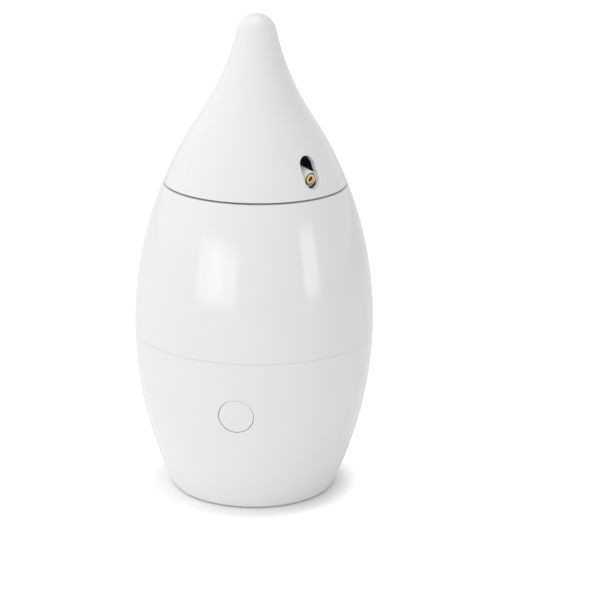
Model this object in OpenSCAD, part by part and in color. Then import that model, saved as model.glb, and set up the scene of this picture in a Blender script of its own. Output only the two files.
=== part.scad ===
// Automatic laser toy for cats: a white drop-shaped case whose upper part, the head, turns on a hollow
// spindle and points two small lasers at the floor.  A rod inside the spindle tilts both lasers together.
// All sizes are in millimetres.  +Z is up, the button faces -Y, and the origin is the middle of the
// foot plane.

/* [Case] */
// Height from the floor to the tip
height = 230; // [220:1:260]
// Largest radius of the case
belly_r = 57.25; // [54:0.25:66]
// Height of the largest radius
belly_z = 81; // [79:1:86]
// Radius of the arc that the case follows below the belly
lower_arc_r = 190; // [170:1:230]
// Radius of the arc that the case follows above the belly
upper_arc_r = 182; // [176:1:230]
// Radius of the hollow arc between the flank and the tip
neck_r = 123.3; // [105:0.1:150]
// Radius of the rounded tip
tip_r = 9.3; // [8:0.1:11]
// Radius of the edge that meets the floor
base_edge_r = 2; // [1:0.5:3]
// Wall thickness of the base cup and the body shell
wall = 2.2; // [1.8:0.1:2.8]
// Wall thickness of the head shell
head_wall = 2.6; // [2:0.1:3]
// Height of the fixed seam between base cup and body shell
seam_z = 78.3; // [76:0.1:78.8]
// Height of the turning seam between body shell and head shell
head_z = 150.4; // [149:0.1:151]
// Open gap of the turning seam
head_gap = 0.8; // [0.6:0.1:1.2]
// Height of the rubber feet below the base cup
foot_h = 0.4; // [0.4:0.1:1]

/* [Button] */
// Radius of the push button
button_r = 8.1; // [7:0.1:9]
// Gap round the push button
button_gap = 0.22; // [0.15:0.01:0.4]
// Height of the button's middle
button_z = 52; // [48:1:54]
// How far the button travels
button_travel = 1.2; // [0.8:0.1:1.3]

/* [Lasers] */
// Turn of the head at rest, from +X to the front laser
head_turn = -40.5; // [-180:0.5:180]
// Downward tilt of the lasers at rest, which is their lowest aim
rest_tilt = 10; // [8:0.5:11]
// How far the lasers tilt up from there
tilt_range = 14; // [5:0.5:16]
// Distance of the lens face from the turning axis at rest
lens_x = 38.5; // [37:0.1:39.5]
// Height of the lens at rest
lens_z = 158.7; // [158.5:0.1:160]
// Distance of the tilt pivot from the turning axis
pivot_x = 20; // [19:0.5:22]
// Radius of the white sleeve that holds a laser
sleeve_r = 3.6; // [3.4:0.05:3.7]
// Radius of the brass laser barrel
barrel_r = 3; // [2.6:0.05:3.1]
// Length of the brass laser barrel
barrel_len = 10.5; // [9:0.5:11]
// Width of the slots that the lasers look out of
slot_w = 9; // [7.9:0.1:9.4]
// Lowest point of the slots
slot_low_z = 154.5; // [154.3:0.1:154.8]
// Highest point of the slots
slot_high_z = 169; // [168:0.1:172]

/* [Gears] */
// Module of every gear
gear_m = 0.8; // [0.75:0.01:0.82]
// Teeth of each pinion
pinion_n = 14; // [14:1:15]
// Teeth of the first wheel, which the motor drives
first_n = 42; // [38:1:42]
// Teeth of the second wheel
second_n = 36; // [32:1:38]
// Teeth of the spindle wheel
spindle_n = 50; // [46:2:50]
// Face width of the wheels
face_w = 3.3; // [2.8:0.1:3.4]
// Play between meshing teeth
backlash = 0.16; // [0.1:0.01:0.25]

/* [Spindle and rod] */
// Outer radius of the hollow spindle
spindle_r = 8; // [7.8:0.1:8.2]
// Radius of the tilt rod inside it
rod_r = 4.8; // [4.4:0.1:5]
// Radial clearance of every running fit
running = 0.05; // [0.02:0.01:0.1]
// Radius of the tilt pivot pins
pivot_pin_r = 1; // [0.8:0.1:1.2]
// Radius of the gear axles
axle_r = 1.5; // [1.2:0.1:1.6]

/* [Cells and door] */
// Radius of an AA cell
cell_r = 7.1; // [6.8:0.1:7.2]
// Length of an AA cell with its nub
cell_len = 50.5; // [49:0.5:51]
// Distance of each cell from the middle
cell_ring_r = 10.6; // [10.5:0.1:11]
// Radius of the battery door
door_r = 20.2; // [19.8:0.1:21]
// Thickness of the battery door
door_h = 2.2; // [2:0.1:2.4]
// Gap round the battery door
door_gap = 0.25; // [0.2:0.05:0.5]

/* [Fasteners] */
// Radius of the long case screws
screw_r = 1.4; // [1.2:0.1:1.5]
// Radius of their heads
screw_head_r = 2.6; // [2.4:0.1:2.8]
// Radius of the small screws inside
small_screw_r = 1.1; // [0.9:0.1:1.2]
// Radius of the small screws' heads
small_head_r = 2; // [1.8:0.1:2.1]
// Clearance between a screw and its hole
screw_fit = 0.1; // [0.05:0.01:0.2]

/* [Hidden] */
$fn = 96;
arc_fn = 240;
far = 400;

// case profile
low_c = [belly_r - lower_arc_r, belly_z];
up_c = [belly_r - upper_arc_r, belly_z];
tip_c = [0, height - tip_r];
tip_d = norm(tip_c - up_c);
up_side = upper_arc_r + neck_r;
tip_side = neck_r + tip_r;
flank_a = atan2(tip_c[1] - up_c[1], tip_c[0] - up_c[0])
  - acos((up_side * up_side + tip_d * tip_d - tip_side * tip_side) / (2 * up_side * tip_d));
flank_u = [cos(flank_a), sin(flank_a)];
neck_c = up_c + up_side * flank_u;
tip_dir = (neck_c - tip_c) / norm(neck_c - tip_c);
edge_z = foot_h + base_edge_r;
edge_x = low_c[0] + sqrt(pow(lower_arc_r - base_edge_r, 2) - pow(edge_z - belly_z, 2));

// levels
floor_t = 2.4;
floor_z = foot_h + floor_t;
body_top = head_z - head_gap / 2;
head_low = head_z + head_gap / 2;
roof_z = body_top - 3;
deck_z = roof_z - 2.4;
level_gap = 0.3;
top_level = deck_z - level_gap - face_w;
mid_level = top_level - level_gap - face_w;
low_level = mid_level - level_gap - face_w;
frame_z = low_level - 0.6 - 2.4;
frame_top = frame_z + 2.4;
table_z = head_low + 0.9;
table_top = table_z + 2.4;
post_top = 76;

// gear train, seen from above
pinion_pr = gear_m * pinion_n / 2;
first_pr = gear_m * first_n / 2;
second_pr = gear_m * second_n / 2;
spindle_pr = gear_m * spindle_n / 2;
d_second = spindle_pr + pinion_pr;
d_link = second_pr + pinion_pr;
d_first = max(26.2, spindle_pr + 0.8 * gear_m + 3.4);
d_motor_link = first_pr + pinion_pr;
d_motor = 28;
first_a = acos((d_second * d_second + d_first * d_first - d_link * d_link) / (2 * d_second * d_first));
motor_a = first_a
  + acos((d_first * d_first + d_motor * d_motor - d_motor_link * d_motor_link) / (2 * d_first * d_motor));
second_at = [d_second, 0];
first_at = d_first * [cos(first_a), sin(first_a)];
motor_at = d_motor * [cos(motor_a), sin(motor_a)];
mesh_b = atan2(first_at[1] - second_at[1], first_at[0] - second_at[0]);
mesh_c = atan2(motor_at[1] - first_at[1], motor_at[0] - first_at[0]);
tooth_turn = 180 + 180 / pinion_n;

// legs, pillars and screw places
leg_angles = [35, 145, 215, 325];
leg_r = 30;
foot_angles = [0, 90, 180, 270];
foot_ring_r = 28.6;
pillar_angles = [-35, 115, 180, 250];
pillar_r = 36.6;
ear_angles = [60, 120, 240, 300];
ear_r = 25.2;
boss_angles = [60, 120, 240, 300];
boss_r = 30;
boss_top = belly_z + sqrt(pow(upper_arc_r, 2) - pow(boss_r + 0.5 - up_c[0], 2));
brush_a = 270;

// tilt drive
pivot_z = lens_z + (lens_x - pivot_x) * tan(rest_tilt);
lens_arm = (lens_x - pivot_x) / cos(rest_tilt);
finger_r = 1.2;
finger_arm = pivot_x - rod_r - finger_r - 0.3;
collar_z = pivot_z + finger_arm * sin(rest_tilt);
collar_half = finger_r + 0.05;
lens_r = 1.1;
rack_z = 114;
rack_pr = rod_r - 1.4;
rack_pitch = PI * gear_m;
tilt_x = rack_pr + pinion_pr;
rod_low = 92.5;

// door and cells
cell_low = foot_h + 5.4;
cell_top = cell_low + cell_len;
well_r = cell_r + 0.25;
tower_top = cell_top + 2.5;

// board behind the button
board_y = -36;
board_t = 1.6;
cap_in_y = -45.6;

module at(a, r) {
  rotate([0, 0, a])
    translate([r, 0, 0])
      children();
}

module rod(r, z0, z1) {
  translate([0, 0, z0])
    cylinder(r = r, h = z1 - z0);
}

module ring(r_in, r_out, z0, z1) {
  difference() {
    rod(r_out, z0, z1);
    rod(r_in, z0 - 1, z1 + 1);
  }
}

module block(x0, x1, y0, y1, z0, z1) {
  translate([x0, y0, z0])
    cube([x1 - x0, y1 - y0, z1 - z0]);
}

// a pan-head screw whose head sits on z = 0 and whose shank points along -Z
module screw(r, head_r, head_h, len) {
  difference() {
    union() {
      rod(r, -len, 0.2);
      rod(head_r, 0, head_h);
    }
    block(-head_r * 0.6, head_r * 0.6, -0.3, 0.3, head_h * 0.5, head_h + 1);
    block(-0.3, 0.3, -head_r * 0.6, head_r * 0.6, head_h * 0.5, head_h + 1);
  }
}

// a round wire that follows a list of points
module wire(r, path) {
  for (i = [0:len(path) - 2]) {
    d = path[i + 1] - path[i];
    translate(path[i])
      rotate([0, acos(d[2] / norm(d)), atan2(d[1], d[0])])
        cylinder(r = r, h = norm(d), $fn = 24);
  }
  for (i = [1:1:len(path) - 2])
    translate(path[i])
      sphere(r = r, $fn = 24);
}

// the outline of the case drawn inward by an inset
module case_2d(inset = 0) {
  turn_p = up_c + (upper_arc_r - inset) * flank_u;
  tip_p = tip_c + (tip_r - inset) * tip_dir;
  turn_z = round(turn_p[1] * 100) / 100;
  tip_z = round(tip_p[1] * 100) / 100;
  intersection() {
    translate(low_c)
      circle(r = lower_arc_r - inset, $fn = arc_fn);
    square([far, belly_z]);
  }
  intersection() {
    translate(up_c)
      circle(r = upper_arc_r - inset, $fn = arc_fn);
    translate([0, belly_z])
      square([far, turn_z - belly_z]);
  }
  difference() {
    translate([0, turn_z])
      square([turn_p[0] + 4, tip_z - turn_z]);
    translate(neck_c)
      circle(r = neck_r + inset, $fn = arc_fn);
  }
  intersection() {
    translate(tip_c)
      circle(r = tip_r - inset, $fn = arc_fn);
    translate([0, tip_z])
      square([far, far]);
  }
}

module case_solid(inset, z0, z1) {
  rotate_extrude($fn = arc_fn)
    intersection() {
      case_2d(inset);
      translate([0, z0])
        square([far, z1 - z0]);
    }
}

// the base cup's outline has a rounded bottom edge
module base_2d() {
  difference() {
    intersection() {
      case_2d(0);
      translate([0, foot_h])
        square([far, seam_z - foot_h]);
    }
    translate([edge_x, foot_h - 1])
      square([far, base_edge_r + 1]);
  }
  intersection() {
    translate([edge_x, edge_z])
      circle(r = base_edge_r);
    translate([edge_x, foot_h])
      square([base_edge_r, base_edge_r]);
  }
  intersection() {
    case_2d(base_edge_r * 0.05);
    translate([edge_x, edge_z - 0.4])
      square([base_edge_r - 0.12, 0.5]);
  }
}

// involute gear outline with shortened teeth
function roll(r, rb) = r <= rb ? 0 : (sqrt(r * r / (rb * rb) - 1) * 180 / PI - acos(rb / r));
module gear_2d(n) {
  pr = gear_m * n / 2;
  rb = pr * cos(20);
  tip = pr + 0.8 * gear_m;
  root = pr - 1.05 * gear_m;
  start = max(rb, root);
  half = (PI * gear_m / 2 - backlash / 2) / pr * 90 / PI + roll(pr, rb);
  steps = [root, start + 0.02, (start + pr) / 2, pr, (pr + tip) / 2, tip];
  polygon([for (i = [0:n - 1]) for (k = [0:11])
    let (r = k < 6 ? steps[k] : steps[11 - k])
    let (a = i * 360 / n + (k < 6 ? -1 : 1) * (half - roll(r, rb)))
    r * [cos(a), sin(a)]]);
}

module gear(n, z0, z1) {
  translate([0, 0, z0])
    linear_extrude(height = z1 - z0)
      gear_2d(n);
}

// everything that lies along -Y from the case wall inward
module toward_button() {
  translate([0, 0, button_z])
    rotate([90, 0, 0])
      children();
}

module base_cup() {
  color("#f4f4f2")
    difference() {
      union() {
        difference() {
          rotate_extrude($fn = arc_fn)
            base_2d();
          case_solid(wall, floor_z, seam_z + 1);
        }
        difference() {
          case_solid(wall - 0.2, seam_z - 5, seam_z);
          case_solid(wall + 1.5, seam_z - 6, seam_z + 1);
        }
        difference() {
          case_solid(wall + 0.15, seam_z - 1, seam_z + 3);
          case_solid(wall + 1.5, seam_z - 6, seam_z + 4);
        }
        for (a = leg_angles)
          at(a, leg_r)
            rod(4.4, floor_z - 1, post_top);
        for (a = ear_angles)
          at(a, ear_r)
            rod(3.4, floor_z - 1, floor_z + 2);
        intersection() {
          toward_button()
            rod(button_r + button_gap + 1.6, -cap_in_y + 0.4, 70);
          case_solid(wall - 0.2, floor_z, seam_z);
        }
      }
      toward_button()
        rod(button_r + button_gap, -cap_in_y - 2, 70);
      rod(door_r + door_gap, foot_h - 1, floor_z + 1);
      for (a = leg_angles)
        at(a, leg_r) {
          rod(screw_head_r + 0.3, foot_h - 1, post_top - 14);
          rod(screw_r + screw_fit, post_top - 15, post_top + 1);
        }
      for (a = ear_angles)
        at(a, ear_r)
          rod(small_screw_r, floor_z - 1.4, floor_z + 3);
      for (a = foot_angles)
        at(a, foot_ring_r)
          rod(4.6, foot_h - 1, foot_h + 1);
    }
}

module rubber_feet() {
  color("#303234")
    for (a = foot_angles)
      at(a, foot_ring_r)
        difference() {
          rod(4.5, 0, foot_h + 1);
          rod(2.6, -1, 0.25);
        }
}

module body_shell() {
  color("#f4f4f2")
    difference() {
      case_solid(0, seam_z + 0.1, body_top);
      case_solid(wall, seam_z - 1, roof_z);
      rod(33, roof_z - 1, body_top + 1);
      for (a = pillar_angles)
        at(a, pillar_r)
          rod(small_screw_r, roof_z - 1, body_top - 0.6);
    }
}

module gear_frame() {
  color("#d9dad8")
    difference() {
      union() {
        rod(42, frame_z, frame_top);
        for (a = pillar_angles)
          at(a, pillar_r)
            rod(3.4, frame_z + 1, deck_z);
        for (a = leg_angles)
          at(a, leg_r)
            rod(3.6, post_top, frame_top - 1);
        block(-15, 20, 5, 7, rod_low + 4.5, frame_z + 1);
        block(-15, 20, -7, -5, rod_low + 4.5, frame_z + 1);
        block(-15, 20, -7, 7, rod_low + 4.5, rod_low + 7);
      }
      rod(spindle_r + 4, frame_z - 4.4, frame_z);
      rod(spindle_r + 2.02, frame_z - 1, frame_top + 1);
      rod(rod_r + 1.62, rod_low + 4, rod_low + 8);
      translate([tilt_x, 0, rack_z])
        rotate([90, 0, 0])
          rod(2, -8, 8);
      translate([motor_at[0], motor_at[1], 0])
        rod(3.1, frame_z - 1, frame_top + 1);
      for (p = [second_at, first_at])
        translate([p[0], p[1], 0])
          rod(axle_r, frame_z - 1, frame_top + 1);
      for (a = pillar_angles)
        at(a, pillar_r)
          rod(small_screw_r + screw_fit, frame_z - 1, deck_z + 1);
      for (a = leg_angles)
        at(a, leg_r)
          rod(screw_r, post_top - 1, post_top + 12);
      for (s = [-1, 1])
        translate([motor_at[0], motor_at[1], 0])
          at(motor_a + 90, s * 15)
            rod(small_screw_r, frame_z - 1, frame_z + 2);
      at(brush_a, 31)
        rod(2.8, frame_z - 1, frame_top + 1);
    }
}

module top_deck() {
  color("#d9dad8")
    difference() {
      union() {
        rod(41, deck_z, roof_z);
        translate([first_at[0], first_at[1], 0])
          rod(3, top_level + 0.3, deck_z + 0.5);
      }
      rod(spindle_r + 2.02, deck_z - 1, roof_z + 1);
      for (p = [second_at, first_at])
        translate([p[0], p[1], 0])
          rod(axle_r, deck_z - 5, roof_z + 1);
      for (a = pillar_angles)
        at(a, pillar_r)
          rod(small_screw_r + screw_fit, deck_z - 1, roof_z + 1);
      at(brush_a, 31)
        rod(2.8, deck_z - 1, roof_z + 1);
      for (x = [15, 25])
        at(brush_a, x)
          rod(1.3, deck_z - 1, roof_z + 1);
    }
}

module spindle_bushes() {
  color("#b08a4a")
    difference() {
      union() {
        rod(spindle_r + 2, deck_z, roof_z);
        rod(spindle_r + 3.2, roof_z, roof_z + 1.1);
        rod(spindle_r + 2, frame_z, frame_top);
        rod(spindle_r + 3.2, frame_z - 1, frame_z);
      }
      rod(spindle_r + running, 100, 160);
    }
}

module rod_bush() {
  color("#b08a4a")
    difference() {
      union() {
        rod(rod_r + 1.6, rod_low + 4.5, rod_low + 7);
        rod(rod_r + 2.8, rod_low + 3.5, rod_low + 4.5);
      }
      difference() {
        rod(rod_r + running, rod_low, rod_low + 12);
        block(rack_pr + 0.8 * gear_m + running, 9, -9, 9, rod_low - 1, rod_low + 13);
      }
    }
}

module spin_motor() {
  color("#b9bcc0")
    translate([motor_at[0], motor_at[1], 0])
      difference() {
        union() {
          rod(10, frame_z - 24, frame_z);
          rod(3, frame_z, frame_top - 0.4);
          rod(3, frame_z - 25.4, frame_z - 24);
          for (s = [-1, 1])
            block(s * 6 - 0.3, s * 6 + 0.3, -1.2, 1.2, frame_z - 27.5, frame_z - 24);
        }
        rod(1 + running, frame_z - 5, frame_top + 1);
      }
}

module spin_motor_shaft() {
  color("#9da1a6")
    translate([motor_at[0], motor_at[1], 0])
      rod(1, frame_z - 4.6, low_level + face_w);
}

module motor_strap() {
  color("#c9ccd0")
    translate([motor_at[0], motor_at[1], 0])
      rotate([0, 0, motor_a + 90])
        difference() {
          union() {
            block(-12, 12, -4, 4, frame_z - 25.2, frame_z - 24);
            for (s = [-1, 1]) {
              block(s * 11.1 - 0.9, s * 11.1 + 0.9, -4, 4, frame_z - 25.2, frame_z);
              block(s * 14.5 - 2.8, s * 14.5 + 2.8, -2.5, 2.5, frame_z - 1.2, frame_z);
            }
          }
          rod(3.1, frame_z - 26, frame_z - 23);
          block(-9, 9, -1.8, 1.8, frame_z - 26, frame_z - 23);
          for (s = [-1, 1])
            translate([s * 15, 0, 0])
              rod(small_screw_r + screw_fit, frame_z - 3, frame_z + 1);
        }
}

module strap_screws() {
  color("#a7abb0")
    translate([motor_at[0], motor_at[1], frame_z - 1.2])
      for (s = [-1, 1])
        at(motor_a + 90, s * 15)
          rotate([180, 0, 0])
            screw(small_screw_r, small_head_r, 1.2, 3.1);
}

// the gear motor lies along -Y with its shaft at the rod
module tilt_motor() {
  color("#b9bcc0")
    translate([tilt_x, 0, rack_z])
      rotate([90, 0, 0])
        difference() {
          union() {
            block(-6, 6, -5, 5, 7, 16);
            intersection() {
              rod(6, 16, 31);
              block(-7, 7, -5, 5, 16, 31);
            }
            rod(2, 31, 32);
            for (s = [-1, 1])
              block(s * 4 - 0.9, s * 4 + 0.9, -0.3, 0.3, 31, 33.5);
          }
          rod(1.5 + running, 6, 14);
        }
}

module tilt_motor_shaft() {
  color("#9da1a6")
    translate([tilt_x, 0, rack_z])
      rotate([90, 0, 0])
        rod(1.5, -2.5, 13.6);
}

module tilt_pinion() {
  color("#e8e4d2")
    translate([tilt_x, 0, rack_z])
      rotate([90, 0, 0])
        rotate([0, 0, pinion_n % 2 == 0 ? 0 : 180 / pinion_n])
          difference() {
            gear(pinion_n, -2.5, 2.5);
            rod(1.5, -3, 3);
          }
}

module tilt_rod() {
  rack_tip = rack_pr + 0.8 * gear_m;
  rack_root = rack_pr - 1.05 * gear_m;
  gap_half = (rack_pitch / 2 + backlash / 2) / 2;
  color("#e8e4d2")
    difference() {
      union() {
        rod(rod_r, rod_low, collar_z + collar_half + 1.2);
        rod(8, collar_z + collar_half, collar_z + collar_half + 1.1);
        rod(8, collar_z - collar_half - 1.1, collar_z - collar_half);
      }
      block(rack_tip, 9, -9, 9, rod_low - 1, rack_z + 12);
      for (k = [-3:3])
        translate([0, 5, rack_z + k * rack_pitch])
          rotate([90, 0, 0])
            linear_extrude(height = 10)
              polygon([
                [rack_root, -gap_half + (rack_pr - rack_root) * tan(20)],
                [rack_tip + 0.5, -gap_half - (rack_tip + 0.5 - rack_pr) * tan(20)],
                [rack_tip + 0.5, gap_half + (rack_tip + 0.5 - rack_pr) * tan(20)],
                [rack_root, gap_half - (rack_pr - rack_root) * tan(20)]]);
    }
}

module gear_axles() {
  color("#9da1a6")
    for (p = [second_at, first_at])
      translate([p[0], p[1], 0])
        rod(axle_r, frame_z, roof_z - 0.2);
}

module second_gear() {
  color("#e8e4d2")
    translate([second_at[0], second_at[1], 0])
      difference() {
        union() {
          rotate([0, 0, tooth_turn])
            gear(pinion_n, mid_level + face_w - 0.01, top_level + face_w);
          rotate([0, 0, mesh_b])
            gear(second_n, mid_level, mid_level + face_w);
          rod(axle_r + 0.8, frame_top + 0.1, mid_level + 0.01);
        }
        rod(axle_r + running, frame_z, roof_z);
      }
}

module first_gear() {
  color("#e8e4d2")
    translate([first_at[0], first_at[1], 0])
      difference() {
        union() {
          rotate([0, 0, mesh_b + tooth_turn])
            gear(pinion_n, low_level + face_w - 0.01, mid_level + face_w);
          rotate([0, 0, mesh_c])
            gear(first_n, low_level, low_level + face_w);
          rod(3, frame_top + 0.1, low_level + 0.01);
          rod(2.6, mid_level + face_w - 0.01, top_level + 0.2);
        }
        rod(axle_r + running, frame_z, roof_z);
      }
}

module motor_pinion() {
  color("#c8a85a")
    translate([motor_at[0], motor_at[1], 0])
      rotate([0, 0, mesh_c + tooth_turn])
        difference() {
          gear(pinion_n, low_level, low_level + face_w);
          rod(1, low_level - 1, low_level + 9);
        }
}

module spindle_gear() {
  color("#e8e4d2")
    difference() {
      union() {
        gear(spindle_n, top_level, top_level + face_w);
        rod(spindle_r + 1.8, mid_level, top_level + 0.1);
      }
      rod(spindle_r, frame_z, roof_z);
    }
}

module spindle() {
  color("#dfe0e2")
    difference() {
      union() {
        rod(spindle_r, frame_z - 3.4, table_top);
        rod(spindle_r + 2, roof_z + 1.15, table_top);
        rod(14, table_top, table_top + 1.8);
      }
      rod(rod_r + running, 100, 170);
      ring(spindle_r - 0.8, spindle_r + 3, frame_z - 2.2, frame_z - 1.05);
      for (a = [90, 210, 330])
        at(a + head_turn, 11.6)
          rod(small_screw_r + screw_fit, table_top - 1, table_top + 3);
    }
}

module spindle_clip() {
  color("#8f9398")
    difference() {
      ring(spindle_r - 0.75, spindle_r + 2.6, frame_z - 2.15, frame_z - 1.1);
      block(-3.4, 3.4, -14, 0, frame_z - 3, frame_z);
    }
}

module flange_screws() {
  color("#a7abb0")
    for (a = [90, 210, 330])
      at(a + head_turn, 11.6)
        translate([0, 0, table_top + 1.8])
          screw(small_screw_r, small_head_r, 1.2, 3.6);
}

module turntable() {
  color("#d9dad8")
    rotate([0, 0, head_turn])
      difference() {
        union() {
          rod(37, table_z, table_top);
          for (sx = [-1, 1])
            for (sy = [-1, 1])
              block(sx * pivot_x - 3, sx * pivot_x + 3, sy * 5.2 - 1, sy * 5.2 + 1,
                table_z, pivot_z + 2.6);
        }
        rod(spindle_r + 2.05, table_z - 1, table_top + 1);
        for (a = boss_angles)
          at(a, boss_r)
            rod(small_screw_r + screw_fit, table_z - 1, table_top + 1);
        for (a = [90, 210, 330])
          at(a, 11.6)
            rod(small_screw_r, table_z - 1, table_top + 1);
        for (sx = [-1, 1])
          translate([sx * pivot_x, 0, pivot_z])
            rotate([90, 0, 0])
              rod(pivot_pin_r, -9, 9);
      }
}

module slip_ring_board() {
  color("#2f6b45")
    ring(spindle_r + 5.5, 27, table_z - 1, table_z);
}

module slip_ring_tracks() {
  color("#c98b4b")
    for (r = [16, 19.4, 22.8])
      ring(r, r + 2, table_z - 1.15, table_z - 1);
}

module brush_block() {
  color("#3a3d40")
    at(brush_a, 20)
      union() {
        block(-7.6, 7.6, -3, 3, roof_z, roof_z + 1.6);
        for (x = [-5, 5])
          translate([x, 0, 0])
            rod(1.2, deck_z, roof_z + 0.1);
      }
}

// spring strips rise from the block and run under the tracks
module brush_fingers() {
  rise = table_z - 1.2 - roof_z;
  color("#c98b4b")
    rotate([0, 0, brush_a])
      for (r = [17, 20.4, 23.8])
        translate([r + 0.5, 3, roof_z])
          rotate([0, -90, 0])
            linear_extrude(height = 1)
              polygon([[0.4, 0], [0.4, 1.4], [rise - 0.1, 8], [rise, 8.6], [rise, 9.4], [rise - 0.3, 10],
                [rise - 0.5, 9.8], [rise - 0.3, 9.2], [rise - 0.3, 8.6], [0.1, 1.7], [0.1, 0]]);
}

module head_shell() {
  color("#f4f4f2")
    difference() {
      union() {
        difference() {
          case_solid(0, head_low, height);
          case_solid(head_wall, head_low - 1, height);
        }
        intersection() {
          case_solid(0.5, table_top, height - 10);
          rotate([0, 0, head_turn])
            for (a = boss_angles)
              at(a, boss_r)
                rod(3.4, table_top, boss_top);
        }
      }
      rotate([0, 0, head_turn]) {
        for (a = boss_angles)
          at(a, boss_r)
            rod(small_screw_r, table_top - 1, table_top + 9);
        for (s = [-1, 1])
          translate([s * 46, 0, 0])
            rotate([0, s * 90, 0])
              linear_extrude(height = 40, center = true)
                for (t = [0, 1]) {
                  translate([-s * (slot_low_z + slot_w / 2), 0])
                    circle(d = slot_w);
                  translate([-s * (slot_high_z - slot_w / 2), 0])
                    circle(d = slot_w);
                  translate([-s * (slot_low_z + slot_high_z) / 2, 0])
                    square([slot_high_z - slot_low_z - slot_w, slot_w], center = true);
                }
      }
    }
}

module head_screws() {
  color("#a7abb0")
    rotate([0, 0, head_turn])
      for (a = boss_angles)
        at(a, boss_r)
          translate([0, 0, table_z])
            rotate([180, 0, 0])
              screw(small_screw_r, small_head_r, 0.9, 9);
}

module pivot_pins() {
  color("#9da1a6")
    rotate([0, 0, head_turn])
      for (s = [-1, 1])
        translate([s * pivot_x, 0, pivot_z])
          rotate([90, 0, 0])
            rod(pivot_pin_r, -6.4, 6.4);
}

// laser parts are drawn level and along +X from their pivot, then tilted and placed
module laser_place(turn) {
  rotate([0, 0, head_turn + turn])
    translate([pivot_x, 0, pivot_z])
      rotate([0, rest_tilt, 0])
        children();
}

module along_x(x0) {
  translate([x0, 0, 0])
    rotate([0, 90, 0])
      children();
}

module laser_cradle(turn) {
  color("#f4f4f2")
    laser_place(turn)
      difference() {
        union() {
          along_x(0)
            rod(sleeve_r, 4.5, lens_arm - 0.4);
          rotate([90, 0, 0])
            rod(2.6, -3.9, 3.9);
          block(0, 5, -3.2, 3.2, -1.6, 1.6);
          block(-finger_arm, -1, -1.5, 1.5, -0.8, 0.8);
          translate([-finger_arm, 0, 0])
            rotate([90, 0, 0])
              rod(finger_r, -2.2, 2.2);
        }
        along_x(0)
          rod(barrel_r + 0.05, 6, lens_arm + 1);
        rotate([90, 0, 0])
          rod(pivot_pin_r + running, -5, 5);
      }
}

module laser_barrel(turn) {
  color("#c39a4a")
    laser_place(turn)
      along_x(0)
        difference() {
          union() {
            rod(barrel_r, lens_arm - barrel_len, lens_arm - 0.9);
            rod(barrel_r - 0.45, lens_arm - 1, lens_arm);
          }
          rod(lens_r, lens_arm - 2, lens_arm + 1);
        }
}

module laser_lens(turn) {
  color("#c22a22")
    laser_place(turn)
      along_x(0)
        rod(lens_r, lens_arm - 2, lens_arm - 0.5);
}

module laser_board(turn) {
  color("#2f6b45")
    laser_place(turn)
      along_x(0)
        rod(barrel_r - 0.2, lens_arm - barrel_len - 1, lens_arm - barrel_len);
}

module laser_cradle_front() {
  laser_cradle(0);
}

module laser_barrel_front() {
  laser_barrel(0);
}

module laser_lens_front() {
  laser_lens(0);
}

module laser_board_front() {
  laser_board(0);
}

module laser_cradle_rear() {
  laser_cradle(180);
}

module laser_barrel_rear() {
  laser_barrel(180);
}

module laser_lens_rear() {
  laser_lens(180);
}

module laser_board_rear() {
  laser_board(180);
}

module button_cap() {
  color("#f4f4f2")
    difference() {
      union() {
        intersection() {
          toward_button()
            rod(button_r, -cap_in_y, 70);
          case_solid(0.12, floor_z, seam_z);
        }
        toward_button()
          rod(button_r + button_gap + 1, -cap_in_y - 1.2, -cap_in_y);
      }
      toward_button()
        difference() {
          rod(button_r - 1.4, -cap_in_y - 2, 51);
          rod(2.2, -cap_in_y - 1.4, 52);
        }
    }
}

module push_switch() {
  color("#3a3d40")
    difference() {
      translate([0, 0, button_z])
        block(-4.2, 4.2, board_y - 5, board_y, -4.2, 4.2);
      toward_button()
        rod(1.6 + running, -board_y + 1, -board_y + 6);
    }
}

module switch_plunger() {
  color("#f4f4f2")
    toward_button()
      rod(1.6, -board_y + 1 + button_travel + 0.2, -cap_in_y - 1.4);
}

module circuit_board() {
  color("#2f6b45")
    difference() {
      block(-15, 15, board_y, board_y + board_t, 30, 64);
      for (x = [-11, 11])
        for (z = [34, 60])
          translate([x, 0, z])
            rotate([90, 0, 0])
              rod(small_screw_r + screw_fit, 30, 40);
    }
}

module chassis_screws() {
  color("#a7abb0") {
    for (x = [-11, 11])
      for (z = [34, 60])
        translate([x, board_y, z])
          rotate([90, 0, 0])
            screw(small_screw_r, small_head_r, 1.2, 5.2);
    for (a = ear_angles)
      at(a, ear_r)
        translate([0, 0, floor_z + 4])
          screw(small_screw_r, small_head_r, 1.2, 5.2);
  }
}

module control_chip() {
  color("#25272a")
    block(-5, 5, board_y - 1.6, board_y, 34, 40);
}

module capacitor() {
  color("#3c4f7c")
    translate([-9.5, board_y, 47])
      rotate([90, 0, 0])
        rod(2.5, 0, 7);
}

module board_resistors() {
  color("#c9b68a")
    for (z = [42, 46, 50])
      block(8, 11.2, board_y - 0.7, board_y, z, z + 1.6);
}

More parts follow.
